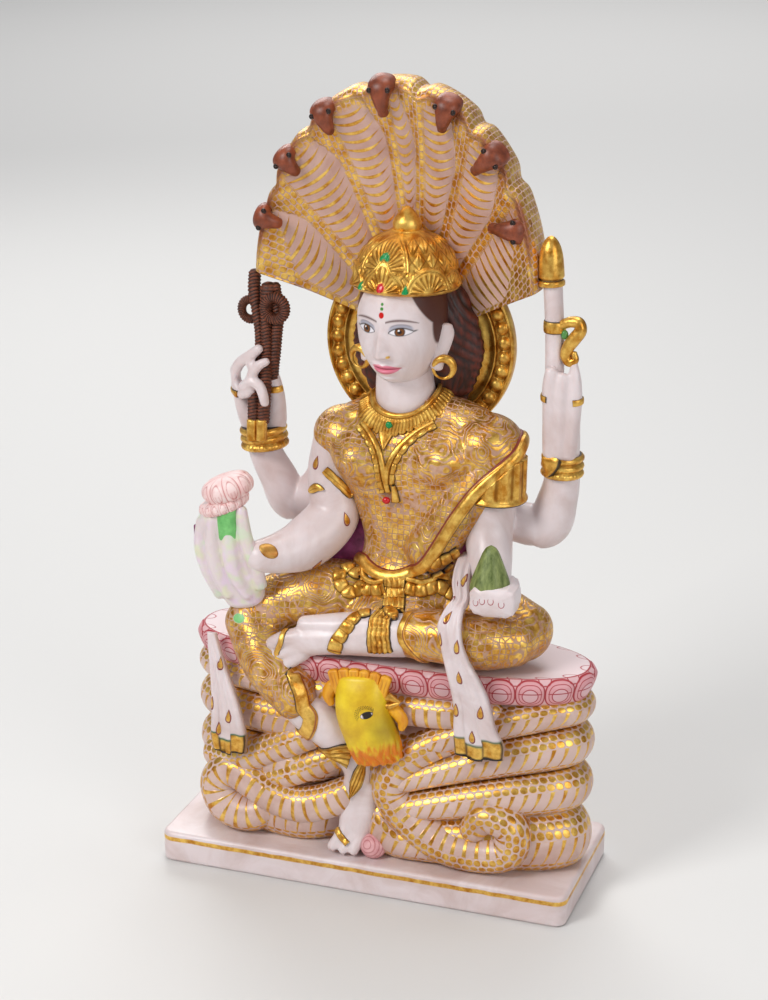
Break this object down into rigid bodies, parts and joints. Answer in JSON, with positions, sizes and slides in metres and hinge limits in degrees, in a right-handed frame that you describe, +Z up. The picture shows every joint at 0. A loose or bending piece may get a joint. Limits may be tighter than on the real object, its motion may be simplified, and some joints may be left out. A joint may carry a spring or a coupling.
{
  "type": "padmavati figure",
  "caption": "Painted marble figure of a seated goddess on a coiled-serpent seat and slab, under a fan of cobra heads.",
  "frame": {"origin": "middle of the base slab's underside", "axes": "+Z up, +X along the slab's long side, to the figure's left, and the figure faces -Y"},
  "size_m": [0.2465, 0.1071, 0.4572],
  "materials": {
    "painted_marble": "satin"
  },
  "bodies": {
    "root": {"padmavati_statue": "painted_marble"}
  },
  "joints": []
}
